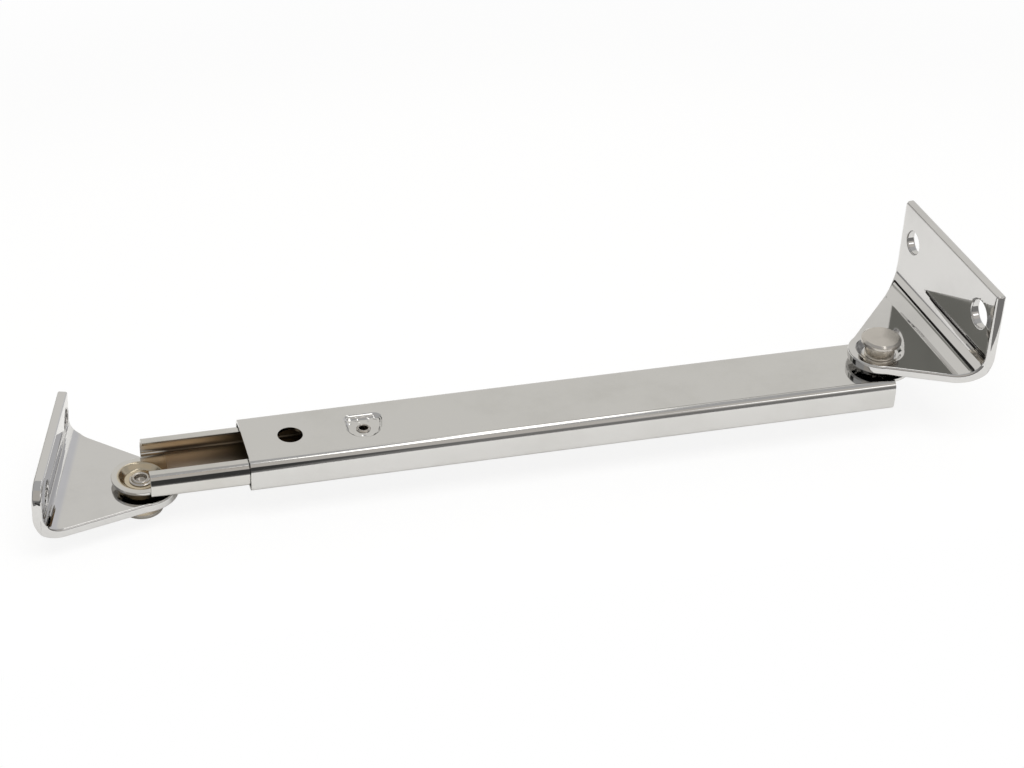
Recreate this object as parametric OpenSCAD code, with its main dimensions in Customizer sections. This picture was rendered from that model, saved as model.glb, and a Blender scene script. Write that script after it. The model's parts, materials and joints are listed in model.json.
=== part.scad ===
// Telescopic hood support: two channels that slide in one another, with a swivel bracket at each end

/* [Arm] */
// Width of the outer channel
outer_width = 25.4; // [24:0.1:30]
// Height of the outer channel
outer_height = 10.2; // [9.6:0.1:13]
// Sheet thickness of both channels
channel_sheet = 1.0; // [0.8:0.05:1.2]
// Outside bend radius of the outer channel
outer_bend = 2.2; // [1.6:0.1:2.8]
// Width of the edges turned in under the outer channel
outer_lip = 4.0; // [3:0.1:5]
// From the mouth of the outer channel to the right pivot
mouth_to_pivot = 202.6; // [170:0.1:260]
// From the mouth to the left pivot with the arm pushed in
pivot_out = 30.8; // [28:0.1:40]
// Side gap between the two channels
side_gap = 0.5; // [0.3:0.05:0.6]
// Gap under the inner channel
slide_gap = 0.15; // [0.1:0.05:0.3]
// Gap over the inner channel
top_gap = 0.6; // [0.4:0.1:1]
// Outside bend radius of the inner channel
inner_bend = 2.0; // [1.6:0.1:2.4]
// Width of the edges turned in over the inner channel
inner_lip = 4.3; // [3.8:0.1:4.4]
// From a pivot to the square cut of the channel sides
side_cut = 1.4; // [1:0.1:3]

/* [Web hole and pocket] */
// Diameter of the round hole in the web
web_hole_d = 7.6; // [6:0.1:9]
// From the mouth to the round hole
web_hole_from_mouth = 14.1; // [10:0.1:18]
// From the mouth to the pocket
pocket_from_mouth = 36.5; // [32:0.1:50]
// Radius of the pocket's round front
pocket_r = 5.6; // [5:0.1:5.8]
// From the pocket's middle to its straight back edge
pocket_back = 5.8; // [5.6:0.1:6.2]
// From the pocket's middle to its wider end
pocket_right = 6.5; // [6.2:0.1:6.8]
// Depth of the pocket
pocket_depth = 1.1; // [0.9:0.1:1.6]
// Slope of the pocket's wall, sideways per depth
pocket_slope = 1.0; // [0.7:0.05:1.2]

/* [Latch] */
// Radius of the tubular rivet
eyelet_r = 1.75; // [1.6:0.05:2.2]
// Radius of the hole through the tubular rivet
eyelet_hole_r = 1.35; // [1:0.05:1.4]
// Height of the tubular rivet over the pocket's floor
eyelet_rise = 1.0; // [0.7:0.05:1.05]
// Thickness of the latch leaf
leaf_sheet = 0.5; // [0.4:0.05:0.7]
// Width of the latch leaf
leaf_width = 8; // [6:0.1:8.5]
// From the pocket to the pawl
leaf_reach = 40.6; // [30:0.1:55]
// Length of the pawl along the arm
pawl_length = 7; // [5:0.1:9]
// Width of the pawl
pawl_width = 9; // [7:0.1:10]
// Height of the pawl
pawl_height = 2.2; // [1.8:0.1:2.6]

/* [Brackets] */
// Sheet thickness of the brackets
bracket_sheet = 3.0; // [2.5:0.1:3.5]
// Inside bend radius of the right bracket
right_bend = 8.0; // [6:0.1:9]
// Inside bend radius of the left bracket
left_bend = 5.7; // [4:0.1:6]
// From the right pivot to the flange's inner face
right_reach = 23.2; // [20:0.1:28]
// Radius of the right ear's round end
right_ear_r = 10.0; // [9.6:0.1:12]
// From the right pivot to the flange's far end
right_far = 34.7; // [28:0.1:40]
// From the right pivot to the flange's near end
right_near = 25.0; // [22:0.1:30]
// Height of the right bracket
right_height = 33.3; // [28:0.1:40]
// Height of the holes of the right bracket
right_hole_height = 22.1; // [18:0.1:24]
// From the right pivot to the far hole
right_hole_far = 26.8; // [20:0.1:27.5]
// From the right pivot to the near hole
right_hole_near = 16.2; // [12:0.1:18]
// Diameter of the far hole of the right bracket
right_far_hole_d = 7.6; // [6:0.1:9]
// Diameter of the near hole of the right bracket
right_near_hole_d = 9.0; // [7:0.1:10]
// From the left pivot to the flange's inner face
left_reach = 24.4; // [22:0.1:28]
// Radius of the left ear's round end
left_ear_r = 11.2; // [9.8:0.1:12]
// From the left pivot to the flange's far end
left_far = 22.7; // [21.6:0.1:28]
// From the left pivot to the flange's near end
left_near = 27.3; // [25:0.1:30]
// From the left pivot to the ear's far edge, at the flange
left_spread_far = 24.6; // [22:0.1:30]
// From the left pivot to the ear's near edge, at the flange
left_spread_near = 27.5; // [25:0.1:32]
// Height of the left bracket
left_height = 18.9; // [17:0.1:24]
// Height of the holes of the left bracket
left_hole_height = 11.7; // [11.2:0.1:12.6]
// From the left pivot to each hole, along the flange
left_hole_side = 18.0; // [15:0.1:18.6]
// Diameter of the holes of the left bracket
left_hole_d = 6.9; // [5:0.1:7.4]
// Radius of the left flange's rounded corner
left_corner_r = 6.5; // [4:0.1:7]

/* [Pivots] */
// Depth of the dishes at both pivots
dish_depth = 1.6; // [1.2:0.1:2]
// Radius of the dish in the right ear
right_dish_r = 7.3; // [7:0.1:8]
// Radius of the dish in the inner channel's tongue
left_dish_r = 6.6; // [6.2:0.1:7]
// Radius of the inner channel's tongue
tongue_r = 8.8; // [8.2:0.1:9.1]
// Radius of the rivet head
head_r = 6.35; // [5.8:0.05:7]
// Thickness of the rivet head
head_height = 1.6; // [1.2:0.1:2]
// Radius of the rivet neck
neck_r = 4.7; // [4.2:0.1:4.8]
// Height of the rivet neck
neck_height = 4.7; // [4:0.1:5.5]
// Radius of the rivet shank
shank_r = 2.5; // [2:0.1:2.8]
// Height of the rolled end
roll_height = 1.75; // [1.4:0.05:1.9]
// Running gap at the pivots
pivot_gap = 0.05; // [0.03:0.01:0.08]
// Gap round a rivet in the sheet that it holds
seat_gap = 0.02; // [0.01:0.01:0.04]

/* [Photographed position] */
// Turn of the right bracket about its pivot
right_turn = 5.5; // [0:0.1:20]
// Turn of the left bracket about its pivot
left_turn = 163.7; // [150:0.1:200]

/* [Hidden] */
$fn = 72;
mouth_x = -mouth_to_pivot;
left_x = mouth_x - pivot_out;
web_under = -channel_sheet;
inner_bottom = -outer_height + channel_sheet + slide_gap;
inner_floor = inner_bottom + channel_sheet;
inner_top = web_under - top_gap;
inner_width = outer_width - 2 * channel_sheet - 2 * side_gap;
inner_open = inner_width / 2 - inner_lip;
outer_tongue_r = outer_width / 2 - outer_bend;
roll_r = shank_r + 0.6;
inner_end = -roll_r - 0.2;
hole_x = mouth_x + web_hole_from_mouth;
pocket_x = mouth_x + pocket_from_mouth;
pocket_floor = -pocket_depth;
narrow_corner_r = 2;
narrow_corner_in = 0.3;
wide_corner_r = 2.6;
boss_bottom = pocket_floor - channel_sheet;
boss_wall = channel_sheet * 0.75;
pawl_x = pocket_x + leaf_reach;
pawl_bottom = inner_floor + 0.05;
pawl_top = pawl_bottom + pawl_height;
arm_travel = inner_end - pawl_x + 0.3;
boss_reach = pocket_right + boss_wall - (top_gap - 0.2) * pocket_slope;
stop_x = pocket_x + boss_reach + arm_travel + 0.1;
stop_in = pocket_r - pocket_depth * pocket_slope + 0.3;
right_seat = pivot_gap;
right_ear = right_seat + dish_depth;
right_neck = right_seat + bracket_sheet + pivot_gap;
left_dish_bottom = inner_bottom - dish_depth;
left_ear = left_dish_bottom - pivot_gap - bracket_sheet;
left_neck = left_ear - pivot_gap;
grip = pivot_gap + bracket_sheet + pivot_gap + channel_sheet;
face_side = (right_hole_far - right_hole_near) / 2;
face_u = right_reach + bracket_sheet;
datum = [face_u * cos(right_turn) - face_side * sin(right_turn),
         face_u * sin(right_turn) + face_side * cos(right_turn),
         right_ear + right_hole_height];

// Everything is drawn about the right pivot and moved to the middle of the right mounting face
module placed() {
    translate(-datum) children();
}

// Section drawn across the arm and drawn out along it
module along(x0, x1) {
    translate([x0, 0, 0]) rotate([90, 0, 90]) linear_extrude(x1 - x0) children();
}

// Quarter of a bend, from the middle of its arc
module bend(r, sheet, sx, sy) {
    intersection() {
        difference() {
            circle(r);
            circle(r - sheet);
        }
        translate([sx < 0 ? -r - 1 : 0, sy < 0 ? -r - 1 : 0]) square([r + 1, r + 1]);
    }
}

// C-section with its closed side up at height top, its lips turned in at height low
module c_section(w, top, low, r, sheet, lip) {
    translate([-w / 2 + r, top - sheet]) square([w - 2 * r, sheet]);
    for (s = [-1, 1]) {
        translate([s * (w / 2 - sheet / 2) - sheet / 2, low + r]) square([sheet, top - low - 2 * r]);
        translate([s * (w / 2 - r), top - r]) bend(r, sheet, s, 1);
        translate([s * (w / 2 - r), low + r]) bend(r, sheet, s, -1);
        translate([s < 0 ? -w / 2 + r : w / 2 - lip, low]) square([lip - r, sheet]);
    }
}

// Pocket with a round front, a straight back and one wider corner, grown below and above
module pocket_form(z0, z1, grow0, grow1) {
    hull() {
        translate([0, 0, z0]) cylinder(h = z1 - z0, r1 = pocket_r + grow0, r2 = pocket_r + grow1);
        translate([narrow_corner_r - pocket_r + narrow_corner_in, pocket_back - narrow_corner_r, z0])
            cylinder(h = z1 - z0, r1 = narrow_corner_r + grow0, r2 = narrow_corner_r + grow1);
        translate([pocket_right - wide_corner_r, pocket_back - wide_corner_r, z0])
            cylinder(h = z1 - z0, r1 = wide_corner_r + grow0, r2 = wide_corner_r + grow1);
    }
}

// Outer channel with its round end, web hole and stamped pocket
module outer_channel() {
    color([0.8, 0.8, 0.79]) placed() difference() {
        union() {
            along(mouth_x, side_cut)
                c_section(outer_width, 0, -outer_height, outer_bend, channel_sheet, outer_lip);
            translate([0, 0, -channel_sheet]) linear_extrude(channel_sheet) intersection() {
                circle(outer_tongue_r);
                translate([side_cut - 0.6, -outer_width]) square([outer_width, 2 * outer_width]);
            }
            translate([pocket_x, 0, 0]) pocket_form(boss_bottom, web_under + 0.2,
                boss_wall - pocket_depth * pocket_slope, boss_wall + 0.2 * pocket_slope);
        }
        translate([hole_x, 0, -channel_sheet - 1]) cylinder(h = channel_sheet + 2, d = web_hole_d);
        translate([pocket_x, 0, 0]) pocket_form(pocket_floor, 0.5,
            -pocket_depth * pocket_slope, 0.5 * pocket_slope);
        translate([pocket_x, 0, boss_bottom - 1]) cylinder(h = channel_sheet + 2, r = eyelet_r + seat_gap);
        translate([0, 0, -channel_sheet - 1]) cylinder(h = channel_sheet + 2, r = shank_r + seat_gap);
    }
}

// Dish pressed into a sheet, measured down from the sheet's upper face
module dish_boss(r, sheet, depth) {
    rotate_extrude() polygon([[0, -sheet / 2], [r + 0.55 * sheet, -sheet / 2], [r + 0.45 * sheet, -sheet],
        [r - depth + 0.1 * sheet, -sheet - 0.8 * depth], [r - depth - 0.1 * sheet, -sheet - depth],
        [0, -sheet - depth]]);
}

// Hollow of a dish, its slope bowing out at the rim and in at the floor
module dish_hollow(r, depth) {
    rim = r + 0.5;
    run = rim - r + 1.3 * depth;
    steps = 8;
    slope = [for (i = [0 : steps]) [rim - run * i / steps, -depth * (1 - cos(180 * i / steps)) / 2]];
    rotate_extrude() polygon(concat([[0, 1], [rim, 1]], slope, [[0, -depth]]));
}

// Inner channel, open side up, with its tongue, dish and stop tabs
module inner_channel() {
    color([0.78, 0.76, 0.72]) placed() difference() {
        union() {
            along(left_x + side_cut, inner_end) mirror([0, 1])
                c_section(inner_width, -inner_bottom, -inner_top, inner_bend, channel_sheet, inner_lip);
            for (s = [-1, 1])
                translate([stop_x, s < 0 ? -inner_open - 0.5 : stop_in, inner_top - channel_sheet])
                    cube([3, inner_open + 0.5 - stop_in, channel_sheet]);
            translate([left_x, 0, inner_bottom]) linear_extrude(channel_sheet) union() {
                circle(tongue_r);
                translate([0, -tongue_r + 0.02]) square([side_cut + 1, 2 * tongue_r - 0.04]);
            }
            translate([left_x, 0, inner_floor]) dish_boss(left_dish_r, channel_sheet, dish_depth);
        }
        translate([left_x, 0, inner_floor]) dish_hollow(left_dish_r, dish_depth);
        translate([left_x, 0, left_dish_bottom - 1]) cylinder(h = channel_sheet + 2, r = shank_r + seat_gap);
    }
}

// Turned pivot rivet, neck seat at zero, head up, rolled end down
module pivot_rivet() {
    roll = -grip - roll_height;
    rotate_extrude() polygon([[0, neck_height + head_height], [head_r - 0.95, neck_height + head_height],
        [head_r - 0.35, neck_height + head_height - 0.2], [head_r, neck_height + head_height - 0.65],
        [head_r, neck_height + 0.25], [head_r - 0.2, neck_height], [neck_r, neck_height],
        [neck_r, 0], [shank_r, 0], [shank_r, -grip], [roll_r - 0.12, -grip],
        [roll_r, -grip - 0.35 * roll_height], [roll_r - 0.18, -grip - 0.7 * roll_height],
        [roll_r - 0.6, roll + 0.06], [roll_r - 0.95, roll], [roll_r - 1.25, roll + 0.15],
        [roll_r - 1.4, roll + 0.5], [roll_r - 1.4, -grip + 0.4], [0, -grip + 0.8]]);
}

module right_pivot_rivet() {
    color([0.72, 0.68, 0.62]) placed() translate([0, 0, right_neck]) pivot_rivet();
}

module left_pivot_rivet() {
    color([0.72, 0.68, 0.62]) placed() translate([left_x, 0, left_neck]) rotate([180, 0, 0]) pivot_rivet();
}

// Tubular rivet in the pocket, rolled at both ends
module stop_rivet() {
    high = pocket_floor + eyelet_rise;
    low = boss_bottom - leaf_sheet;
    color([0.7, 0.66, 0.6]) placed() translate([pocket_x, 0, 0]) rotate_extrude() polygon([
        [eyelet_hole_r + 0.25, high], [eyelet_r + 0.05, high],
        [eyelet_r + 0.3, high - 0.25], [eyelet_r + 0.3, pocket_floor],
        [eyelet_r, pocket_floor], [eyelet_r, low], [eyelet_r + 0.9, low], [eyelet_r + 0.9, low - 0.4],
        [eyelet_r + 0.5, low - 0.7], [eyelet_hole_r + 0.25, low - 0.7], [eyelet_hole_r, low - 0.45],
        [eyelet_hole_r, high - 0.25]]);
}

// Latch leaf: foot under the pocket, arm running down and in, pad on the pawl
module latch_spring() {
    foot = boss_bottom;
    pad = pawl_top + leaf_sheet;
    x0 = -eyelet_r - 2.4;
    x1 = eyelet_r + 3.2;
    x2 = leaf_reach - 1.5;
    x3 = leaf_reach + pawl_length;
    color([0.45, 0.44, 0.42]) placed() translate([pocket_x, 0, 0]) difference() {
        translate([0, leaf_width / 2, 0]) rotate([90, 0, 0]) linear_extrude(leaf_width) polygon([
            [x0, foot], [x1, foot], [x2, pad], [x3, pad], [x3, pad - leaf_sheet],
            [x2 - 0.1, pad - leaf_sheet], [x1 - 0.1, foot - leaf_sheet], [x0, foot - leaf_sheet]]);
        translate([0, 0, foot - leaf_sheet - 1]) cylinder(h = leaf_sheet + 2, r = eyelet_r + seat_gap);
        translate([leaf_reach + pawl_length / 2, 0, pawl_top - 1])
            cylinder(h = leaf_sheet + 2, r = 1.2 + seat_gap);
    }
}

// Pawl with a sloped lower edge on its inner side
module latch_pawl() {
    color([0.5, 0.49, 0.47]) placed() translate([pawl_x, 0, 0]) difference() {
        translate([0, pawl_width / 2, 0]) rotate([90, 0, 0]) linear_extrude(pawl_width) polygon([
            [0, pawl_bottom], [pawl_length - 2.4, pawl_bottom], [pawl_length, pawl_bottom + 1.4],
            [pawl_length, pawl_top], [0, pawl_top]]);
        translate([pawl_length / 2, 0, pawl_bottom - 1]) cylinder(h = pawl_height + 2, r = 1.2 + seat_gap);
    }
}

// Rivet that joins the pawl to the leaf, flush below
module pawl_rivet() {
    color([0.55, 0.54, 0.5]) placed() translate([pawl_x + pawl_length / 2, 0, 0]) rotate_extrude() polygon([
        [0, pawl_bottom + 0.05], [1.2, pawl_bottom + 0.05], [1.2, pawl_top + leaf_sheet],
        [2.1, pawl_top + leaf_sheet], [2.1, pawl_top + leaf_sheet + 0.3], [1.5, pawl_top + leaf_sheet + 0.7],
        [0, pawl_top + leaf_sheet + 0.8]]);
}

// Section of an angle bracket: flat ear, bend, upright flange
module angle_section(reach, height, back, bend_r) {
    out_r = bend_r + bracket_sheet;
    difference() {
        translate([-back, 0]) square([back + reach + bracket_sheet, height]);
        translate([-back - 1, bracket_sheet + bend_r])
            square([back + 1 + reach, height]);
        translate([-back - 1, bracket_sheet])
            square([back + 1 + reach - bend_r, height]);
        translate([reach - bend_r, bracket_sheet + bend_r]) circle(bend_r);
        translate([reach - bend_r, bracket_sheet + bend_r]) difference() {
            translate([0, -out_r - 1]) square([out_r + 1, out_r + 1]);
            circle(out_r);
        }
    }
}

// Angle of the edge that runs from the flange's end onto the ear's round end
function edge_turn(reach, side, r) = atan2(side, reach) + acos((r - 0.3) / norm([reach, side]));

// Plan of the ear's two edges, which widen towards the flange
module ear_plan(reach, plus, minus, r) {
    u = reach + 1;
    a = edge_turn(u, plus, r);
    b = edge_turn(u, minus, r);
    q = r - 0.3;
    more = bracket_sheet + 3;
    polygon([[q * cos(a), q * sin(a)], [u + more, plus + more * tan(a - 90)],
        [u + more, -minus - more * tan(b - 90)], [q * cos(b), -q * sin(b)]]);
}

// Bent sheet: flange from minus to plus, ear edges that reach the spread at the flange
module bracket_body(reach, plus, minus, spread_plus, spread_minus, height, r, bend_r) {
    union() {
        intersection() {
            translate([0, plus, 0]) rotate([90, 0, 0])
                linear_extrude(plus + minus) angle_section(reach, height, r + 2, bend_r);
            translate([0, 0, -5]) linear_extrude(height + 10)
                ear_plan(reach, spread_plus, spread_minus, r);
        }
        cylinder(h = bracket_sheet, r = r);
    }
}

// Round hole through an upright flange
module flange_hole(reach, side, z, d) {
    translate([reach - 1, side, z]) rotate([0, 90, 0]) cylinder(h = bracket_sheet + 2, d = d);
}

module right_bracket() {
    color([0.82, 0.82, 0.82])
    placed() translate([0, 0, right_ear]) rotate([0, 0, right_turn]) difference() {
        union() {
            bracket_body(right_reach, right_far, right_near, right_far, right_near,
                right_height, right_ear_r, right_bend);
            translate([0, 0, bracket_sheet]) dish_boss(right_dish_r - 1.2, bracket_sheet, dish_depth);
        }
        translate([0, 0, bracket_sheet]) dish_hollow(right_dish_r, dish_depth);
        translate([0, 0, -dish_depth - 1]) cylinder(h = bracket_sheet + 2, r = shank_r + pivot_gap);
        flange_hole(right_reach, right_hole_far, right_hole_height, right_far_hole_d);
        flange_hole(right_reach, -right_hole_near, right_hole_height, right_near_hole_d);
    }
}

module left_bracket() {
    color([0.82, 0.82, 0.82])
    placed() translate([left_x, 0, left_ear]) rotate([0, 0, left_turn]) difference() {
        bracket_body(left_reach, left_near, left_far, left_spread_near, left_spread_far,
            left_height, left_ear_r, left_bend);
        translate([0, 0, -1]) cylinder(h = bracket_sheet + 2, r = shank_r + pivot_gap);
        flange_hole(left_reach, left_hole_side, left_hole_height, left_hole_d);
        flange_hole(left_reach, -left_hole_side, left_hole_height, left_hole_d);
        translate([left_reach - 1, left_near - left_corner_r, left_height - left_corner_r])
            rotate([90, 0, 90]) linear_extrude(bracket_sheet + 2) difference() {
                square([left_corner_r + 1, left_corner_r + 1]);
                circle(left_corner_r);
            }
    }
}

right_bracket();
left_bracket();
outer_channel();
inner_channel();
right_pivot_rivet();
left_pivot_rivet();
stop_rivet();
latch_spring();
latch_pawl();
pawl_rivet();
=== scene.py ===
import json
from math import atan2, cos, exp, hypot, radians, sin

import bmesh
import bpy
from mathutils import Matrix, Vector


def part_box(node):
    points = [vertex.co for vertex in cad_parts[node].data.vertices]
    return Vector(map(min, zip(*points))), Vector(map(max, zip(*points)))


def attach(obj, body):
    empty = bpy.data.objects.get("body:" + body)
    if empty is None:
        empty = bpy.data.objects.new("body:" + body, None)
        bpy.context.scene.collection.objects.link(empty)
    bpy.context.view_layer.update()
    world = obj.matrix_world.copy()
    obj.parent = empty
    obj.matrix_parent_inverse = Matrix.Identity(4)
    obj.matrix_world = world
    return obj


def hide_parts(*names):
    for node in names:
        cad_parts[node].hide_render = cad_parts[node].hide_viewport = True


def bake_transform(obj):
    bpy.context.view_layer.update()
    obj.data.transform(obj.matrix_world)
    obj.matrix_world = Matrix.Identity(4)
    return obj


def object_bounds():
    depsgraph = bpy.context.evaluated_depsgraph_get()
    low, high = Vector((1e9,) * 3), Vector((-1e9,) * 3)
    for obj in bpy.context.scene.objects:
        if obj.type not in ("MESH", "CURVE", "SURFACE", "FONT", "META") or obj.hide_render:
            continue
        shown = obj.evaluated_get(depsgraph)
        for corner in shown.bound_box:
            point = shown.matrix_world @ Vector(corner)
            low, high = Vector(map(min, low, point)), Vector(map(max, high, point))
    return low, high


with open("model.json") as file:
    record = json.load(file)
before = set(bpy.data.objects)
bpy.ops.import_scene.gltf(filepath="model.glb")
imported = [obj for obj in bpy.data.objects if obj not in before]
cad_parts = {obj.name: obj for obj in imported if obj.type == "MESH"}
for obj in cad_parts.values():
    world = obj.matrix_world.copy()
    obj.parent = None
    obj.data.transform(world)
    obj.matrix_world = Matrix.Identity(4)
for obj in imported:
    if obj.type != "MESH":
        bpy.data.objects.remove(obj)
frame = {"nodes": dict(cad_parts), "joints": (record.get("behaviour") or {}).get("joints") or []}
cad_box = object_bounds()

MM = 0.001

# Turned pivot rivet, in millimetres
HEAD_R = 6.35
HEAD_HEIGHT = 1.6
NECK_R = 4.7
NECK_HEIGHT = 4.7
SHANK_R = 2.5
GRIP = 4.1
ROLL_R = 3.1
ROLL_HEIGHT = 1.05
ROLL_HOLE_R = 1.7
PIVOT_EASE = 0.22

# Tubular rivet in the pocket, in millimetres: the solid's rim rises more than the rim that is seen
EYELET_R = 1.75
EYELET_HOLE_R = 1.35
EYELET_RISE = 1.0
EYELET_RIM = 0.55
EYELET_FOOT = 0.7
EYELET_EASE = 0.2

# Pawl rivet, in millimetres
PIN_R = 1.2
PIN_HEAD_R = 2.1
PIN_HEAD_HEIGHT = 0.8
PIN_EASE = 0.12

# Turning of all rivets: profiles turn on a tiny circle about the axis, which is then welded shut
AXIS_OFFSET = 0.01 * MM
AXIS_WELD = 2.2 * AXIS_OFFSET
TURN_SEGMENTS = 128
TURN_EDGE_STEPS = 5

# Rolled channels, in metres: bend radii, sheet, dish, and the soft shoulder under the bends
OUTER_BEND = 2.2 * MM
INNER_BEND = 2.0 * MM
CHANNEL_SHEET = 1.0 * MM
DISH_DROP = 1.6 * MM
SHOULDER_HEIGHT = 2.2 * MM
SHOULDER_STEPS = 7
SHOULDER_SHARE = 0.8
OUTER_LEAN = 0.24 * MM
OUTER_FLARE = 0.2 * MM
INNER_LEAN = 0.52 * MM
FLARE_LENGTH = 30 * MM
FLARE_STATIONS = [d * MM for d in (5, 11, 18, 26, 36, 48, 64, 84, 110)]

# Eased edges: width in metres, segments, and the turn in degrees above which an edge is eased
BRACKET_EASE = 0.65 * MM, 5, 50
POCKET_EASE = 0.5 * MM, 5, 30
CHANNEL_EASE = 0.16 * MM, 2, 60
LATCH_EASE = 0.1 * MM, 2, 50

# The pocket's own edges lie between these distances from the tubular rivet's axis, in metres
POCKET_BORE = 2.5 * MM
POCKET_REACH = 9 * MM

# Joining and cutting of meshes, in metres, and the turn up to which neighbouring faces count as flat
WELD = 0.002 * MM
CUT_SNAP = 0.001 * MM
FLAT_TURN = radians(0.3)

# Leaf spring, in metres: its foot under the pocket, its pad before the pawl, and the cuts between them
LEAF_FOOT = 9.1 * MM
LEAF_PAD = 1.5 * MM
LEAF_CUTS = 16

# Turn of each bracket about its pivot, and the strips it is cut into along its bend
RIGHT_TURN = radians(5.5)
LEFT_TURN = radians(-16.3)
BRACKET_CUTS = 40

# Camera at the photograph's place, in metres and degrees
CAMERA_PLACE = Vector((-0.33723, -0.62460, 0.43762))
CAMERA_PAN = 17.24
CAMERA_TILT = 35.03
CAMERA_ROLL = 3.11
CAMERA_LENS = 91.71
SENSOR_WIDTH = 36.0

# Paper under the part: its edges, border and change from near to far in metres, its tone near the part with
# painted shade far off, and its glow
PAPER_GAP = 0.2 * MM
PAPER_FRONT = -0.085
PAPER_REACH = 4.0
PAPER_BORDER = (0.045, 0.01)
PAPER_SPAN = (0.18, 0.42)
PAPER_STRETCH = (1.5, 1.0, 1.0)
PAPER_TONE_AND_FAR_SHADE = (0.93, 0.93, 0.92), (0.45, 0.45, 0.46)
PAPER_GLOW = (0.86, 0.995)


def joint_place(name):
    for joint in frame["joints"]:
        if joint["name"] == name:
            return Vector(joint["pos_m"])
    raise ValueError(name)


def box_of(node):
    return [Vector(p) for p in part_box(node)]


RIGHT_PIVOT = joint_place("right_pivot")
LEFT_PIVOT = joint_place("left_pivot")
WEB_TOP = RIGHT_PIVOT.z
POCKET = sum(box_of("stop_rivet"), Vector()) / 2
FLOOR_Z = cad_box[0][2] - PAPER_GAP


# Shader helpers

def new_material(name):
    material = bpy.data.materials.new(name)
    material.use_nodes = True
    tree = material.node_tree
    return material, tree, tree.nodes["Principled BSDF"]


def add(tree, kind, **values):
    """New node: names that start with in_ are its inputs, the others its settings."""
    node = tree.nodes.new(kind)
    for key, value in values.items():
        if key.startswith("in_"):
            node.inputs[key[3:].replace("_", " ")].default_value = value
        else:
            setattr(node, key, value)
    return node


def math_node(tree, operation, a, b=None, clamp=False):
    node = add(tree, "ShaderNodeMath", operation=operation, use_clamp=clamp)
    for socket, value in zip(node.inputs, (a, b)):
        if value is None:
            continue
        if isinstance(value, (int, float)):
            socket.default_value = value
        else:
            tree.links.new(value, socket)
    return node.outputs[0]


def product(tree, first, *others):
    for other in others:
        first = math_node(tree, "MULTIPLY", first, other)
    return first


def ramp(tree, value, span, base=0.0, out=(0.0, 1.0)):
    """Smooth step over a span that is measured from a base."""
    node = add(tree, "ShaderNodeMapRange", interpolation_type="SMOOTHSTEP")
    tree.links.new(value, node.inputs["Value"])
    for key, number in (("From Min", base + span[0]), ("From Max", base + span[1]),
                        ("To Min", out[0]), ("To Max", out[1])):
        node.inputs[key].default_value = number
    return node.outputs["Result"]


def mix_colour(tree, factor, a, b):
    node = add(tree, "ShaderNodeMix", data_type="RGBA")
    for index, value in ((0, factor), (6, a), (7, b)):
        if isinstance(value, tuple):
            node.inputs[index].default_value = (*value, 1.0)
        else:
            tree.links.new(value, node.inputs[index])
    return node.outputs[2]


def split(tree, vector):
    axes = tree.nodes.new("ShaderNodeSeparateXYZ")
    tree.links.new(vector, axes.inputs[0])
    return axes.outputs


def away_from(tree, axes, centre):
    """Distance from an upright axis."""
    squares = [math_node(tree, "POWER", math_node(tree, "SUBTRACT", axes[name], middle), 2.0)
               for name, middle in (("X", centre.x), ("Y", centre.y))]
    return math_node(tree, "SQRT", math_node(tree, "ADD", *squares))


def plating_group():
    """Slow waves, fine rubbing lines and faint smudges of plated sheet."""
    tree = bpy.data.node_groups.new("plating", "ShaderNodeTree")
    socket = tree.interface.new_socket
    socket(name="Vector", in_out="INPUT", socket_type="NodeSocketVector")
    for name, value in (("Wave Size", 60.0), ("Line Stretch", 30.0),
                        ("Roughness Low", 0.04), ("Roughness High", 0.12)):
        socket(name=name, in_out="INPUT", socket_type="NodeSocketFloat").default_value = value
    for name in ("Roughness", "Wave", "Smudge"):
        socket(name=name, in_out="OUTPUT", socket_type="NodeSocketFloat")
    source = tree.nodes.new("NodeGroupInput").outputs
    result = tree.nodes.new("NodeGroupOutput").inputs
    link = tree.links.new

    wave = add(tree, "ShaderNodeTexNoise", in_Detail=1.0)
    link(source["Vector"], wave.inputs["Vector"])
    link(source["Wave Size"], wave.inputs["Scale"])

    stretch = add(tree, "ShaderNodeCombineXYZ", in_X=1.0)
    link(source["Line Stretch"], stretch.inputs["Y"])
    link(source["Line Stretch"], stretch.inputs["Z"])
    along = add(tree, "ShaderNodeVectorMath", operation="MULTIPLY")
    link(source["Vector"], along.inputs[0])
    link(stretch.outputs[0], along.inputs[1])
    lines = add(tree, "ShaderNodeTexNoise", in_Scale=55.0, in_Detail=4.0)
    link(along.outputs[0], lines.inputs["Vector"])

    smudge = add(tree, "ShaderNodeTexNoise", in_Scale=38.0, in_Detail=5.0, in_Roughness=0.62)
    link(source["Vector"], smudge.inputs["Vector"])
    patches = ramp(tree, smudge.outputs["Fac"], (0.42, 0.78))

    both = math_node(tree, "ADD", product(tree, patches, 0.6),
                     product(tree, lines.outputs["Fac"], 0.4), clamp=True)
    span = math_node(tree, "SUBTRACT", source["Roughness High"], source["Roughness Low"])
    link(math_node(tree, "ADD", source["Roughness Low"], product(tree, both, span)), result["Roughness"])
    link(wave.outputs["Fac"], result["Wave"])
    link(patches, result["Smudge"])
    return tree


PLATING = plating_group()


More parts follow.
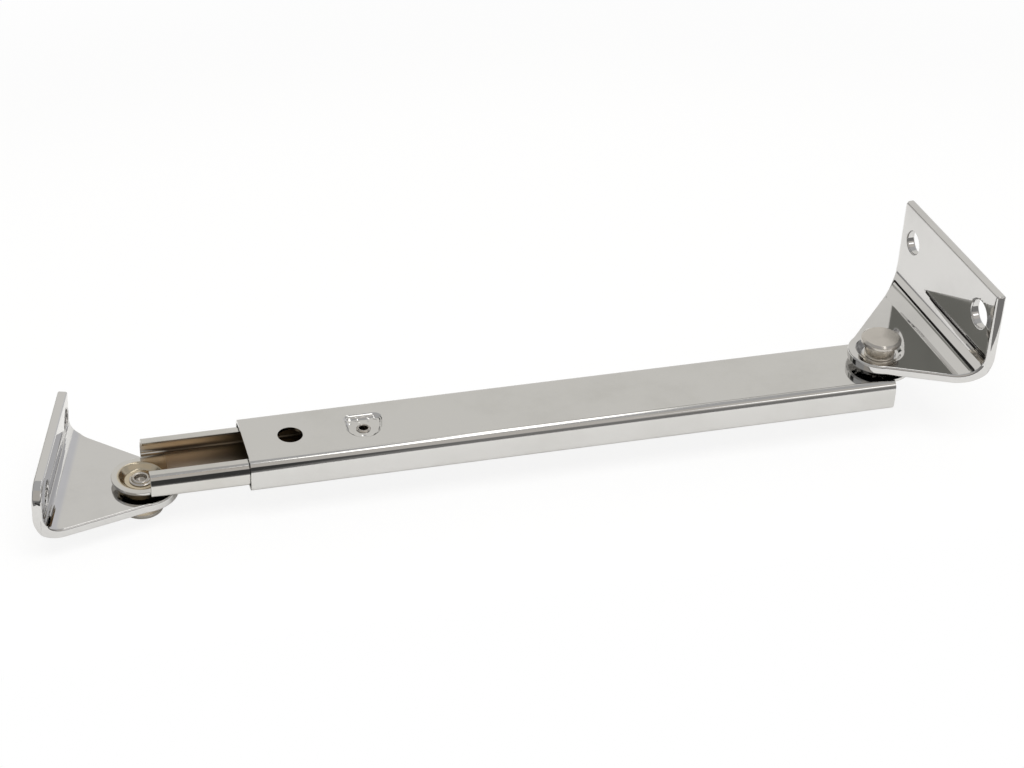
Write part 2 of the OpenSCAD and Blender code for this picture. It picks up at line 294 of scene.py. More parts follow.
def chrome(name, colour, dull, wave_size, wave_height, rough):
    """Chromed sheet: colour that dulls a little in smudges, slow waves in its mirror."""
    material, tree, shader = new_material(name)
    place = add(tree, "ShaderNodeTexCoord").outputs["Object"]
    plating = add(tree, "ShaderNodeGroup", node_tree=PLATING, in_Wave_Size=wave_size,
                  in_Roughness_Low=rough[0], in_Roughness_High=rough[1])
    tree.links.new(place, plating.inputs["Vector"])
    tree.links.new(mix_colour(tree, plating.outputs["Smudge"], colour, dull), shader.inputs["Base Color"])
    tree.links.new(plating.outputs["Roughness"], shader.inputs["Roughness"])
    bump = add(tree, "ShaderNodeBump", in_Strength=1.0, in_Distance=wave_height)
    tree.links.new(plating.outputs["Wave"], bump.inputs["Height"])
    tree.links.new(bump.outputs["Normal"], shader.inputs["Normal"])
    shader.inputs["Metallic"].default_value = 1.0
    return material, tree, shader, place, plating


BRACKET_CHROME = chrome("bracket_chrome", (0.655, 0.65, 0.645), (0.60, 0.595, 0.59),
                        45.0, 0.03 * MM, (0.02, 0.07))[0]
SPRING_STEEL = chrome("spring_steel", (0.36, 0.35, 0.34), (0.28, 0.26, 0.24),
                      60.0, 0.02 * MM, (0.2, 0.35))[0]
PAWL_STEEL = chrome("pawl_steel", (0.46, 0.45, 0.43), (0.36, 0.34, 0.31),
                    60.0, 0.02 * MM, (0.22, 0.4))[0]

# Dents in the pocket: distance from the tubular rivet, depth below the web's top, and size
DENT_REACH = (8.0 * MM, 5.5 * MM)
DENT_DEPTH = (-0.35 * MM, -0.6 * MM)
DENT_SCALE = 330.0
DENT_HEIGHT = 0.6 * MM


def channel_chrome():
    """Outer channel: even plate, with small dents where the pocket was stamped."""
    material, tree, shader, place, _ = chrome(
        "channel_chrome", (0.65, 0.645, 0.635), (0.60, 0.595, 0.58), 28.0, 0.02 * MM, (0.05, 0.13))
    axes = split(tree, place)
    stamped = ramp(tree, away_from(tree, axes, POCKET), DENT_REACH)
    below = ramp(tree, axes["Z"], DENT_DEPTH, WEB_TOP)
    dents = add(tree, "ShaderNodeTexNoise", in_Scale=DENT_SCALE, in_Detail=0.0)
    tree.links.new(place, dents.inputs["Vector"])
    bump = add(tree, "ShaderNodeBump", in_Strength=1.0, in_Distance=DENT_HEIGHT)
    tree.links.new(product(tree, stamped, below, dents.outputs["Fac"]), bump.inputs["Height"])
    tree.links.new(shader.inputs["Normal"].links[0].from_socket, bump.inputs["Normal"])
    tree.links.new(bump.outputs["Normal"], shader.inputs["Normal"])
    return material


CHANNEL_CHROME = channel_chrome()

# Hollow of the inner channel: each span says where a tone starts and ends, in metres; the corner and deep
# tones are painted shade
WALL_SPAN = (-0.72 * MM, -0.9 * MM)  # from the walls' outside
BEND_SPAN = (-2.8 * MM, -2.0 * MM)  # from the top, where the walls lean in by BEND_LEAN
BEND_LEAN = 0.35 * MM
LID_SPAN = (-0.3 * MM, -0.9 * MM)  # from the top
SKIN_SPAN = (-0.5 * MM, -0.2 * MM)  # from the floor, so that its underside stays bright
UP_SPAN = (0.4 * MM, 1.6 * MM)  # from the floor, where the walls' tone takes over
CORNER_FOOT = (0.01 * MM, 0.08 * MM)  # from the floor
CORNER_HEAD = (2.2 * MM, 1.1 * MM)  # from the floor
START_SPAN = (6.0 * MM, 10.0 * MM)  # from the pivot, on the walls sooner by WALL_SOONER
WALL_SOONER = 6.0 * MM
DEEP_SPAN = (14.0 * MM, 34.0 * MM)  # from the pivot
DISH_SPAN = (7.3 * MM, 6.7 * MM)  # from the pivot
FLOOR_TONES = (0.54, 0.48, 0.41), (0.72, 0.65, 0.57)
WALL_TONES = (0.72, 0.55, 0.36), (0.92, 0.74, 0.52)
# The next two tones are painted shade: the hollow's lower corners, and the hollow further in from the left
# pivot
CORNER_PAINTED_SHADE = (0.10, 0.08, 0.06)
DEEP_PAINTED_SHADE = (0.28, 0.23, 0.165)
DISH_TONE = (0.58, 0.51, 0.39)
HOLLOW_DULLNESS = 0.32
DISH_DULLNESS = 0.12


def inner_chrome():
    """Inner channel: bright outside, thin yellowish plate in the dish, brown and dull inside the hollow,
    with painted shade along the hollow's lower corners and from the left pivot inwards.
    """
    material, tree, shader, place, plating = chrome(
        "channel_inner", (0.64, 0.63, 0.61), (0.58, 0.57, 0.54), 40.0, 0.03 * MM, (0.05, 0.12))
    axes = split(tree, place)
    low, high = box_of("inner_channel")
    middle = (low.y + high.y) / 2
    half = (high.y - low.y) / 2
    floor = low.z + DISH_DROP + CHANNEL_SHEET
    side = math_node(tree, "ABSOLUTE", math_node(tree, "SUBTRACT", axes["Y"], middle))
    lean = product(tree, ramp(tree, axes["Z"], BEND_SPAN, high.z), BEND_LEAN)
    inside = ramp(tree, math_node(tree, "ADD", side, lean), WALL_SPAN, half)
    up = ramp(tree, axes["Z"], UP_SPAN, floor)
    from_pivot = math_node(tree, "SUBTRACT", axes["X"], LEFT_PIVOT.x)
    along = ramp(tree, math_node(tree, "ADD", from_pivot, product(tree, up, WALL_SOONER)), START_SPAN)
    lid = ramp(tree, axes["Z"], LID_SPAN, high.z)
    above = ramp(tree, axes["Z"], SKIN_SPAN, floor)
    hollow = product(tree, inside, along, lid, above)

    stain = add(tree, "ShaderNodeTexNoise", in_Scale=120.0, in_Detail=3.0)
    tree.links.new(place, stain.inputs["Vector"])
    floor_tone = mix_colour(tree, stain.outputs["Fac"], *FLOOR_TONES)
    wall_tone = mix_colour(tree, stain.outputs["Fac"], *WALL_TONES)
    brown = mix_colour(tree, up, floor_tone, wall_tone)
    # Painted shade: the lower corners of the hollow, where the walls bend into the floor, are darkened
    corner = product(tree, ramp(tree, axes["Z"], CORNER_FOOT, floor),
                     ramp(tree, axes["Z"], CORNER_HEAD, floor))
    brown = mix_colour(tree, corner, brown, CORNER_PAINTED_SHADE)
    # Painted shade: the hollow turns darker from 14 to 34 mm past the left pivot and stays so beyond,
    # standing in for the shade inside the outer channel
    brown = mix_colour(tree, ramp(tree, from_pivot, DEEP_SPAN), brown, DEEP_PAINTED_SHADE)

    in_dish = ramp(tree, away_from(tree, axes, LEFT_PIVOT), DISH_SPAN)
    plain = shader.inputs["Base Color"].links[0].from_socket
    gold = mix_colour(tree, in_dish, plain, DISH_TONE)
    tree.links.new(mix_colour(tree, hollow, gold, brown), shader.inputs["Base Color"])
    dull = math_node(tree, "ADD", product(tree, hollow, HOLLOW_DULLNESS),
                     product(tree, in_dish, DISH_DULLNESS))
    tree.links.new(math_node(tree, "ADD", plating.outputs["Roughness"], dull), shader.inputs["Roughness"])
    return material


INNER_CHROME = inner_chrome()

# Turned nickel: its tone in the rings and between them, the painted light of the plain neck, and the rings
# themselves
NICKEL = (0.62, 0.59, 0.55)
NICKEL_DULL = tuple(c * 0.86 for c in NICKEL)
# Painted light: a pale, warm tone and a dull finish for the neck stand in for the bright reflections it
# shows
NECK_PAINTED_LIGHT = (0.97, 0.91, 0.81)
NECK_DULLNESS = 0.32
NECK_BORDER = 0.05 * MM
RING_SCALE = 5200.0
RING_HEIGHT = 0.004 * MM
RING_ROUGHNESS = (0.17, 0.27)


def turned_nickel(name, centre, neck):
    """Turned nickel: fine rings about the rivet's axis, and a plain neck between two heights that is
    painted paler as painted light.
    """
    material, tree, shader = new_material(name)
    link = tree.links.new
    mapping = add(tree, "ShaderNodeMapping", in_Location=(-centre.x, -centre.y, 0.0))
    link(add(tree, "ShaderNodeTexCoord").outputs["Object"], mapping.inputs["Vector"])
    axes = split(tree, mapping.outputs[0])
    flat = tree.nodes.new("ShaderNodeCombineXYZ")
    link(axes["X"], flat.inputs["X"])
    link(axes["Y"], flat.inputs["Y"])
    reach = add(tree, "ShaderNodeVectorMath", operation="LENGTH")
    link(flat.outputs[0], reach.inputs[0])
    ring_place = tree.nodes.new("ShaderNodeCombineXYZ")
    link(reach.outputs["Value"], ring_place.inputs["X"])
    noise = add(tree, "ShaderNodeTexNoise", in_Scale=RING_SCALE, in_Detail=3.0)
    link(ring_place.outputs[0], noise.inputs["Vector"])
    rings = noise.outputs["Fac"]

    on_neck = product(tree, ramp(tree, axes["Z"], (-NECK_BORDER, 0.0), neck[0]),
                      ramp(tree, axes["Z"], (0.0, -NECK_BORDER), neck[1]))
    off_neck = math_node(tree, "SUBTRACT", 1.0, on_neck)
    ringed = mix_colour(tree, rings, NICKEL_DULL, NICKEL)
    # Painted light: the neck gets the pale tone instead of the ringed nickel
    link(mix_colour(tree, on_neck, ringed, NECK_PAINTED_LIGHT), shader.inputs["Base Color"])
    ring_rough = product(tree, ramp(tree, rings, (0.2, 0.8), out=RING_ROUGHNESS), off_neck)
    neck_rough = product(tree, on_neck, NECK_DULLNESS)
    link(math_node(tree, "ADD", ring_rough, neck_rough), shader.inputs["Roughness"])
    bump = add(tree, "ShaderNodeBump", in_Strength=1.0, in_Distance=RING_HEIGHT)
    link(product(tree, rings, off_neck), bump.inputs["Height"])
    link(bump.outputs["Normal"], shader.inputs["Normal"])
    outward = add(tree, "ShaderNodeVectorTransform", vector_type="VECTOR",
                  convert_from="OBJECT", convert_to="WORLD")
    link(flat.outputs[0], outward.inputs["Vector"])
    link(outward.outputs["Vector"], shader.inputs["Tangent"])
    shader.inputs["Anisotropic"].default_value = 0.6
    shader.inputs["Metallic"].default_value = 1.0
    return material


# Pieces taken over from the solids with their edges eased

def sheet_copy(node):
    """Copy of a node's mesh, joined up and with its flat triangles merged."""
    bm = bmesh.new()
    bm.from_mesh(frame["nodes"][node].data)
    bmesh.ops.remove_doubles(bm, verts=bm.verts, dist=WELD)
    bmesh.ops.dissolve_limit(bm, angle_limit=FLAT_TURN, verts=bm.verts, edges=bm.edges)
    return bm


def ease_edges(bm, width, segments, lowest, chosen=lambda middle: True, limited=True):
    """Rounds the edges that turn by more than lowest degrees."""
    edges = [e for e in bm.edges if e.is_manifold and e.calc_face_angle() > radians(lowest)
             and chosen((e.verts[0].co + e.verts[1].co) / 2)]
    bmesh.ops.bevel(bm, geom=edges, offset=width, offset_type="OFFSET", segments=segments,
                    profile=0.5, affect="EDGES", clamp_overlap=limited)


def cut(bm, place, facing, parts=None):
    """Cuts the faces of a mesh, or the given parts of it, along a plane."""
    parts = parts or bm.verts[:] + bm.edges[:] + bm.faces[:]
    bmesh.ops.bisect_plane(bm, geom=parts, dist=CUT_SNAP, plane_co=place, plane_no=facing)


def soft_shoulders(bm, node, bend, lean_in, flare):
    """Lets a rolled channel's side walls lean in towards their upper bends, more so near the left end."""
    low, high = box_of(node)
    middle = (low.y + high.y) / 2
    half = (high.y - low.y) / 2
    tiny = 0.01 * MM
    turned = radians(90) * SHOULDER_SHARE
    for step in range(SHOULDER_STEPS + 1):
        level = high.z - bend - SHOULDER_HEIGHT * step / SHOULDER_STEPS
        cut(bm, (0.0, 0.0, level), (0.0, 0.0, 1.0))
    for along in FLARE_STATIONS if flare else ():
        sides = [f for f in bm.faces if all(half - abs(v.co.y - middle) < bend + tiny for v in f.verts)]
        lines = {e for f in sides for e in f.edges}
        corners = {v for f in sides for v in f.verts}
        cut(bm, (low.x + along, 0.0, 0.0), (1.0, 0.0, 0.0), [*corners, *lines, *sides])
    for vert in bm.verts:
        side = 1.0 if vert.co.y > middle else -1.0
        inset = half - abs(vert.co.y - middle)
        drop = high.z - vert.co.z
        moved = lean_in + flare * exp((low.x - vert.co.x) / FLARE_LENGTH)
        if inset < bend + tiny and drop < bend + tiny:
            out, rise = bend - inset, bend - drop
            reach, angle = hypot(out, rise), atan2(out, rise) * SHOULDER_SHARE
            inset = bend + moved - reach * sin(angle)
            drop = bend - reach * cos(angle)
        elif inset < CHANNEL_SHEET + tiny and drop < bend + SHOULDER_HEIGHT:
            reach = bend - inset
            first = bend - reach * cos(turned)
            done = (drop - bend) / SHOULDER_HEIGHT
            inset += (bend + moved - reach * sin(turned) - inset) * (1.0 - done) ** 2
            drop = first + (bend + SHOULDER_HEIGHT - first) * done
        else:
            continue
        vert.co.y = middle + side * (half - inset)
        vert.co.z = high.z - drop


def dress(piece, node, body=None):
    """Evens a piece's shading, hangs it on its body if one is given, and hides the node it stands for."""
    normals = piece.modifiers.new("even_faces", "WEIGHTED_NORMAL")
    normals.weight = 100
    if body:
        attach(piece, body)
    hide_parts(node)
    return piece


def show(name, bm, material):
    """Turns a finished mesh into a piece."""
    mesh = bpy.data.meshes.new(name)
    for face in bm.faces:
        face.smooth = True
    bm.to_mesh(mesh)
    bm.free()
    mesh.materials.append(material)
    piece = bpy.data.objects.new(name, mesh)
    bpy.context.scene.collection.objects.link(piece)
    return piece


def eased_bracket(name, node, body, turn_angle):
    """Bracket, cut across its bend into short strips, so that its mirror stays true along the bend."""
    bm = sheet_copy(node)
    ease_edges(bm, *BRACKET_EASE, limited=False)
    along = Vector((-sin(turn_angle), cos(turn_angle), 0.0))
    reach = [v.co.dot(along) for v in bm.verts]
    first, last = min(reach), max(reach)
    for step in range(1, BRACKET_CUTS):
        cut(bm, along * (first + (last - first) * step / BRACKET_CUTS), along)
    dress(show(name, bm, BRACKET_CHROME), node, body)


def eased_outer_channel():
    """Outer channel: the pocket's edges are rounder than the others."""
    def in_pocket(place):
        return POCKET_BORE < (place.xy - POCKET.xy).length < POCKET_REACH

    def off_pocket(place):
        return (place.xy - POCKET.xy).length >= POCKET_REACH

    bm = sheet_copy("outer_channel")
    soft_shoulders(bm, "outer_channel", OUTER_BEND, OUTER_LEAN, OUTER_FLARE)
    ease_edges(bm, *POCKET_EASE, in_pocket, limited=False)
    ease_edges(bm, *CHANNEL_EASE, off_pocket)
    dress(show("arm_outer", bm, CHANNEL_CHROME), "outer_channel", "outer_arm")


def eased_inner_channel():
    bm = sheet_copy("inner_channel")
    soft_shoulders(bm, "inner_channel", INNER_BEND, INNER_LEAN, 0.0)
    ease_edges(bm, *CHANNEL_EASE)
    dress(show("arm_inner", bm, INNER_CHROME), "inner_channel", "inner_arm")


def eased_leaf():
    """Leaf spring, cut across along its arm between its foot and the pawl."""
    bm = sheet_copy("latch_spring")
    ease_edges(bm, *LATCH_EASE)
    low = box_of("latch_spring")[0]
    start = low + Vector((LEAF_FOOT, 0.0, 0.0))
    end = Vector((box_of("latch_pawl")[0].x - LEAF_PAD, low.y, low.z))
    for step in range(LEAF_CUTS + 1):
        cut(bm, start.lerp(end, step / LEAF_CUTS), (1.0, 0.0, 0.0))
    leaf = dress(show("leaf", bm, SPRING_STEEL), "latch_spring")
    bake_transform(leaf)


def eased_pawl():
    bm = sheet_copy("latch_pawl")
    ease_edges(bm, *LATCH_EASE)
    dress(show("pawl_block", bm, PAWL_STEEL), "latch_pawl", "pawl")


# Rivets, turned by one geometry tree

def lathe_tree():
    """Turns a profile, given as points of radius and height, about the upright axis."""
    tree = bpy.data.node_groups.new("turned_rivet", "GeometryNodeTree")
    socket = tree.interface.new_socket
    socket(name="Profile", in_out="INPUT", socket_type="NodeSocketGeometry")
    for name, kind, value in (("Axis Offset", "NodeSocketFloat", AXIS_OFFSET),
                              ("Edge Radius", "NodeSocketFloat", PIVOT_EASE * MM),
                              ("Edge Steps", "NodeSocketInt", TURN_EDGE_STEPS),
                              ("Segments", "NodeSocketInt", TURN_SEGMENTS)):
        socket(name=name, in_out="INPUT", socket_type=kind).default_value = value
    socket(name="Place", in_out="INPUT", socket_type="NodeSocketVector")
    socket(name="Finish", in_out="INPUT", socket_type="NodeSocketMaterial")
    socket(name="Geometry", in_out="OUTPUT", socket_type="NodeSocketGeometry")
    source = tree.nodes.new("NodeGroupInput").outputs
    result = tree.nodes.new("NodeGroupOutput").inputs
    link = tree.links.new

    outline = tree.nodes.new("GeometryNodeMeshToCurve")
    link(source["Profile"], outline.inputs["Mesh"])
    rounded = add(tree, "GeometryNodeFilletCurve", mode="POLY", in_Limit_Radius=True)
    link(outline.outputs["Curve"], rounded.inputs["Curve"])
    link(source["Edge Radius"], rounded.inputs["Radius"])
    link(source["Edge Steps"], rounded.inputs["Count"])

    path = tree.nodes.new("GeometryNodeCurvePrimitiveCircle")
    link(source["Segments"], path.inputs["Resolution"])
    link(source["Axis Offset"], path.inputs["Radius"])
    upright = add(tree, "GeometryNodeSetCurveNormal", mode="Z_UP")
    link(path.outputs["Curve"], upright.inputs["Curve"])
    turned = tree.nodes.new("GeometryNodeCurveToMesh")
    link(upright.outputs["Curve"], turned.inputs["Curve"])
    link(rounded.outputs["Curve"], turned.inputs["Profile Curve"])

    moved = tree.nodes.new("GeometryNodeTransform")
    link(turned.outputs["Mesh"], moved.inputs["Geometry"])
    link(source["Place"], moved.inputs["Translation"])
    real = tree.nodes.new("GeometryNodeRealizeInstances")
    link(moved.outputs["Geometry"], real.inputs["Geometry"])
    finish = tree.nodes.new("GeometryNodeSetMaterial")
    link(real.outputs["Geometry"], finish.inputs["Geometry"])
    link(source["Finish"], finish.inputs["Material"])
    link(finish.outputs["Geometry"], result["Geometry"])
    return tree


LATHE = lathe_tree()


def turn(name, profile, place, material, ease, flip=False, closed=False):
    """One turned rivet: profile points are radius and height in millimetres."""
    points = [Vector((r * MM - AXIS_OFFSET, (h if flip else -h) * MM, 0.0)) for r, h in profile]
    runs = [(i, i + 1) for i in range(len(points) - 1)]
    if closed:
        runs.append((len(points) - 1, 0))
    line = bpy.data.meshes.new(name + "_profile")
    line.from_pydata(points, runs, [])
    piece = bpy.data.objects.new(name, line)
    bpy.context.scene.collection.objects.link(piece)
    modifier = piece.modifiers.new("turned", "NODES")
    modifier.node_group = LATHE
    inputs = {s.name: s.identifier for s in LATHE.interface.items_tree if s.in_out == "INPUT"}
    for key, value in (("Axis Offset", AXIS_OFFSET), ("Edge Radius", ease * MM),
                       ("Edge Steps", TURN_EDGE_STEPS), ("Segments", TURN_SEGMENTS),
                       ("Place", tuple(place)), ("Finish", material)):
        modifier[inputs[key]] = value
    made = bpy.data.meshes.new_from_object(piece.evaluated_get(bpy.context.evaluated_depsgraph_get()))
    piece.modifiers.remove(modifier)
    bm = bmesh.new()
    bm.from_mesh(made)
    bmesh.ops.remove_doubles(bm, verts=bm.verts, dist=AXIS_WELD)
    bmesh.ops.recalc_face_normals(bm, faces=bm.faces)
    for face in bm.faces:
        face.smooth = True
    bm.to_mesh(made)
    bm.free()
    made.materials.clear()
    made.materials.append(material)
    made.name = name
    piece.data = made
    return piece


def pivot_rivets():
    """Head and neck on one side of the bracket, and a low stepped roll with a flange on the other."""
    head_top = NECK_HEIGHT + HEAD_HEIGHT
    roll_end = -GRIP - ROLL_HEIGHT
    profile = [
        (0.0, head_top), (HEAD_R - 0.9, head_top), (HEAD_R, head_top - 0.55), (HEAD_R, NECK_HEIGHT + 0.15),
        (HEAD_R - 0.15, NECK_HEIGHT), (NECK_R, NECK_HEIGHT), (NECK_R, 0.0), (SHANK_R, 0.0),
        (SHANK_R, -GRIP), (ROLL_R + 0.4, -GRIP), (ROLL_R + 0.4, -GRIP - 0.3), (ROLL_R - 0.2, -GRIP - 0.45),
        (ROLL_R - 0.3, roll_end + 0.25), (ROLL_R - 0.7, roll_end), (ROLL_HOLE_R + 0.1, roll_end + 0.1),
        (ROLL_HOLE_R, roll_end + 0.6), (ROLL_HOLE_R, -GRIP + 0.4), (0.0, -GRIP + 0.8)]

    seat = box_of("right_pivot_rivet")[1].z - head_top * MM
    finish = turned_nickel("rivet_nickel_right", RIGHT_PIVOT, (seat, seat + NECK_HEIGHT * MM))
    piece = turn("rivet_right", profile, (*RIGHT_PIVOT.xy, seat), finish, PIVOT_EASE)
    dress(piece, "right_pivot_rivet", "outer_arm")

    seat = box_of("left_pivot_rivet")[0].z + head_top * MM
    finish = turned_nickel("rivet_nickel_left", LEFT_PIVOT, (seat - NECK_HEIGHT * MM, seat))
    piece = turn("rivet_left", profile, (*LEFT_PIVOT.xy, seat), finish, PIVOT_EASE, flip=True)
    dress(piece, "left_pivot_rivet", "inner_arm")


def tubular_rivet():
    low, high = (p.z / MM for p in box_of("stop_rivet"))
    pocket_floor = high - EYELET_RISE
    rim = pocket_floor + EYELET_RIM
    foot = low + EYELET_FOOT
    profile = [
        (EYELET_HOLE_R + 0.2, rim), (EYELET_R - 0.05, rim), (EYELET_R + 0.45, pocket_floor + 0.12),
        (EYELET_R + 0.45, pocket_floor), (EYELET_R, pocket_floor), (EYELET_R, foot), (EYELET_R + 0.9, foot),
        (EYELET_R + 0.9, low + 0.3), (EYELET_R + 0.5, low), (EYELET_HOLE_R + 0.2, low),
        (EYELET_HOLE_R, low + 0.3), (EYELET_HOLE_R, rim - 0.3)]
    finish = turned_nickel("rivet_nickel_eyelet", POCKET, (0.0, 0.0))
    piece = turn("rivet_eyelet", profile, (*POCKET.xy, 0.0), finish, EYELET_EASE, closed=True)
    dress(piece, "stop_rivet", "outer_arm")


def pawl_rivet():
    low, high = box_of("pawl_rivet")
    middle = (low + high) / 2
    foot, top = low.z / MM, high.z / MM
    under_head = top - PIN_HEAD_HEIGHT
    profile = [(0.0, top), (1.5, top - 0.1), (PIN_HEAD_R, top - 0.5), (PIN_HEAD_R, under_head),
               (PIN_R, under_head), (PIN_R, foot), (0.0, foot)]
    piece = turn("rivet_pawl", profile, (*middle.xy, 0.0), PAWL_STEEL, PIN_EASE)
    dress(piece, "pawl_rivet", "pawl")


eased_bracket("bracket_right", "right_bracket", "right_mount", RIGHT_TURN)
eased_bracket("bracket_left", "left_bracket", "left_mount", LEFT_TURN)
eased_outer_channel()
eased_inner_channel()
eased_leaf()
eased_pawl()
pivot_rivets()
tubular_rivet()
pawl_rivet()


# Floor, light and camera

def paper_floor():
    """White paper: its own pale tone near the part and painted shade further off, and close to the
    background's white where the camera sees it.
    """
    bm = bmesh.new()
    bm.faces.new([bm.verts.new((x, y, FLOOR_Z)) for x, y in (
        (-PAPER_REACH, PAPER_FRONT), (PAPER_REACH, PAPER_FRONT),
        (PAPER_REACH, PAPER_REACH), (-PAPER_REACH, PAPER_REACH))])
    mesh = bpy.data.meshes.new("paper")
    bm.to_mesh(mesh)
    bm.free()
    floor = bpy.data.objects.new("paper", mesh)
    bpy.context.scene.collection.objects.link(floor)

    material, tree, shader = new_material("white_paper")
    link = tree.links.new
    place = add(tree, "ShaderNodeTexCoord").outputs["Object"]
    middle = (RIGHT_PIVOT + LEFT_PIVOT) / 2
    mapping = add(tree, "ShaderNodeMapping", vector_type="TEXTURE",
                  in_Location=(middle.x, middle.y, FLOOR_Z), in_Scale=PAPER_STRETCH)
    link(place, mapping.inputs["Vector"])
    reach = add(tree, "ShaderNodeVectorMath", operation="LENGTH")
    link(mapping.outputs[0], reach.inputs[0])
    # Painted shade: the paper turns darker away from the part, so that the chrome mirrors a dim far floor
    far = ramp(tree, reach.outputs["Value"], PAPER_SPAN)
    link(mix_colour(tree, far, *PAPER_TONE_AND_FAR_SHADE), shader.inputs["Base Color"])
    shader.inputs["Roughness"].default_value = 0.9
    shader.inputs["Specular IOR Level"].default_value = 0.0

    glow = add(tree, "ShaderNodeEmission", in_Strength=1.0, in_Color=(1.0, 1.0, 1.0, 1.0))
    border = ramp(tree, split(tree, place)["Y"], PAPER_BORDER, PAPER_FRONT)
    share = math_node(tree, "MAXIMUM", ramp(tree, far, (0.0, 1.0), out=PAPER_GLOW), border)
    seen = tree.nodes.new("ShaderNodeLightPath").outputs["Is Camera Ray"]
    mix = tree.nodes.new("ShaderNodeMixShader")
    link(product(tree, seen, share), mix.inputs[0])
    link(shader.outputs[0], mix.inputs[1])
    link(glow.outputs[0], mix.inputs[2])
    link(mix.outputs[0], tree.nodes["Material Output"].inputs["Surface"])
    mesh.materials.append(material)


def direction(azimuth, elevation):
    """Compass direction in degrees: 0 is straight behind the part, 90 on its right."""
    a, e = radians(azimuth), radians(elevation)
    return Vector((sin(a) * cos(e), cos(a) * cos(e), sin(e)))


def to_the_right(azimuth):
    return Vector((cos(radians(azimuth)), -sin(radians(azimuth)), 0.0))


def seen_in_bend(angle):
    """Direction that the right bracket's bend mirrors, by its angle about the line of the bend."""
    across = Vector((cos(RIGHT_TURN), sin(RIGHT_TURN), 0.0))
    along = Vector((-sin(RIGHT_TURN), cos(RIGHT_TURN), 0.0))
    a = radians(angle)
    return (across * cos(a) + Vector((0.0, 0.0, sin(a))) + along).normalized()


def panel(azimuth, elevation, half_width, half_height, tone, soft=0.02):
    """Upright panel round a compass direction, with a soft edge."""
    ahead = direction(azimuth, elevation)
    across = to_the_right(azimuth)
    return ahead, across, across.cross(ahead), half_width, half_height, tone, soft


def strip(start, end, half_width, tone, soft):
    """Narrow panel from one compass direction to another."""
    first, last = direction(*start), direction(*end)
    ahead = (first + last).normalized()
    upward = (last - first).normalized()
    half_height = last.dot(upward) / last.dot(ahead)
    return ahead, ahead.cross(upward), upward, half_width, half_height, tone, soft


def bend_card(low, high, half_width, tone, soft=0.02):
    """Card between two angles about the line of the right bracket's bend."""
    ahead = seen_in_bend((low + high) / 2)
    edge = seen_in_bend(low)
    rise = edge - seen_in_bend(high)
    upward = (rise - ahead * rise.dot(ahead)).normalized()
    half_height = edge.dot(upward) / edge.dot(ahead)
    return ahead, ahead.cross(upward), upward, half_width, half_height, tone, soft


# Room that the chrome mirrors: tones of its walls below and above, and its panels and cards
ROOM_TONES = (0.24, 0.235, 0.23), (0.50, 0.50, 0.50)
CARD_FRONT = (0.02, 0.05)
ROOM_CARDS = (
    # wide pale wall behind the part, and a greyer one on its right
    panel(15.0, 25.0, 3.4, 0.62, (0.80, 0.785, 0.75)),
    panel(62.0, 22.0, 0.40, 0.5, (0.69, 0.69, 0.71), 0.2),
    # two pale walls behind the camera, and a dark gap between them
    panel(-142.0, 38.0, 0.6, 0.55, (0.55, 0.52, 0.48), 0.1),
    panel(155.0, 40.0, 0.7, 0.5, (0.62, 0.59, 0.555), 0.1),
    panel(180.0, 2.0, 0.26, 0.25, (0.05, 0.05, 0.05), 0.12),
    # strip light overhead, and a small bright window behind the camera
    strip((151.0, 70.0), (25.0, 52.0), 0.05, (3.0, 2.95, 2.85), 0.025),
    panel(147.0, 33.0, 0.19, 0.1, (2.2, 2.2, 2.2), 0.06),
    # grey and black cards that show in the right bracket's bend
    bend_card(124.5, 134.0, 0.5, (0.275, 0.275, 0.25)),
    bend_card(134.5, 149.0, 0.5, (0.02, 0.02, 0.018)))


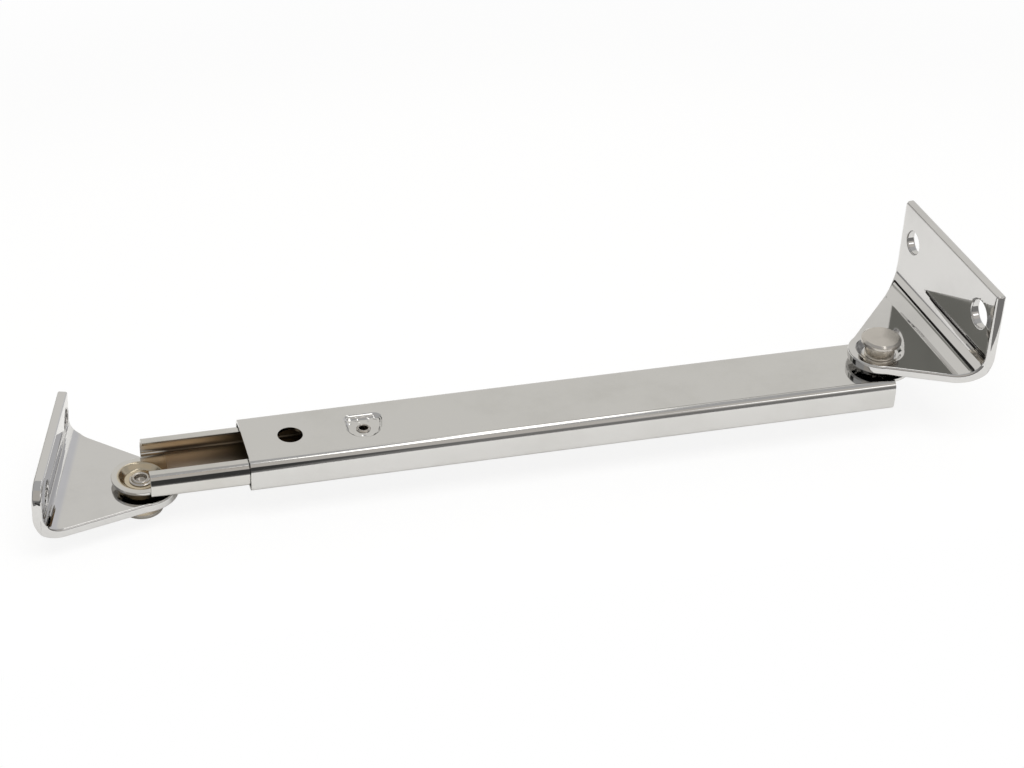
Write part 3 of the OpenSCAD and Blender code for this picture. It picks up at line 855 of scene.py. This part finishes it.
def studio_world():
    """Dim room with a few pale panels and dark cards, white where the camera sees it."""
    world = bpy.data.worlds.new("studio")
    world.use_nodes = True
    bpy.context.scene.world = world
    tree = world.node_tree
    link = tree.links.new
    place = tree.nodes.new("ShaderNodeTexCoord").outputs["Generated"]
    height = split(tree, place)["Z"]
    colour = mix_colour(tree, ramp(tree, height, (0.0, 0.75)), *ROOM_TONES)
    for ahead, across, upward, half_width, half_height, tone, soft in ROOM_CARDS:
        parts = []
        for axis in (ahead, across, upward):
            dot = add(tree, "ShaderNodeVectorMath", operation="DOT_PRODUCT")
            link(place, dot.inputs[0])
            dot.inputs[1].default_value = axis
            parts.append(dot.outputs["Value"])
        depth = math_node(tree, "MAXIMUM", parts[0], CARD_FRONT[0])
        x, y = (math_node(tree, "ABSOLUTE", math_node(tree, "DIVIDE", part, depth)) for part in parts[1:])
        mask = product(tree, ramp(tree, x, (0.0, -soft), half_width),
                       ramp(tree, y, (0.0, -soft), half_height), ramp(tree, parts[0], CARD_FRONT))
        colour = mix_colour(tree, mask, colour, tone)
    seen = tree.nodes.new("ShaderNodeLightPath").outputs["Is Camera Ray"]
    link(mix_colour(tree, seen, colour, (1.0, 1.0, 1.0)), tree.nodes["Background"].inputs["Color"])


def softbox(name, place, target, width, depth, power):
    lamp = bpy.data.lights.new(name, "AREA")
    lamp.shape = "RECTANGLE"
    lamp.size = width
    lamp.size_y = depth
    lamp.energy = power
    holder = bpy.data.objects.new(name, lamp)
    holder.location = place
    holder.rotation_euler = (Vector(target) - Vector(place)).to_track_quat("-Z", "Y").to_euler()
    holder.visible_glossy = False
    bpy.context.scene.collection.objects.link(holder)


def photo_camera():
    ahead = direction(CAMERA_PAN, -CAMERA_TILT)
    level = to_the_right(CAMERA_PAN)
    upward = level.cross(ahead)
    roll = radians(CAMERA_ROLL)
    right = level * cos(roll) + upward * sin(roll)
    upward = upward * cos(roll) - level * sin(roll)
    camera = bpy.data.objects.new("camera", bpy.data.cameras.new("camera"))
    camera.data.lens = CAMERA_LENS
    camera.data.sensor_width = SENSOR_WIDTH
    camera.data.clip_start = 0.01
    turned = Matrix((right, upward, -ahead)).transposed()
    camera.matrix_world = Matrix.Translation(CAMERA_PLACE) @ turned.to_4x4()
    bpy.context.scene.collection.objects.link(camera)
    bpy.context.scene.camera = camera


paper_floor()
studio_world()
softbox("overhead", place=(-0.15, -0.35, 1.15), target=(-0.13, 0.0, -0.03),
        width=1.0, depth=0.7, power=9.5)
photo_camera()
bpy.context.scene.view_settings.view_transform = "Standard"
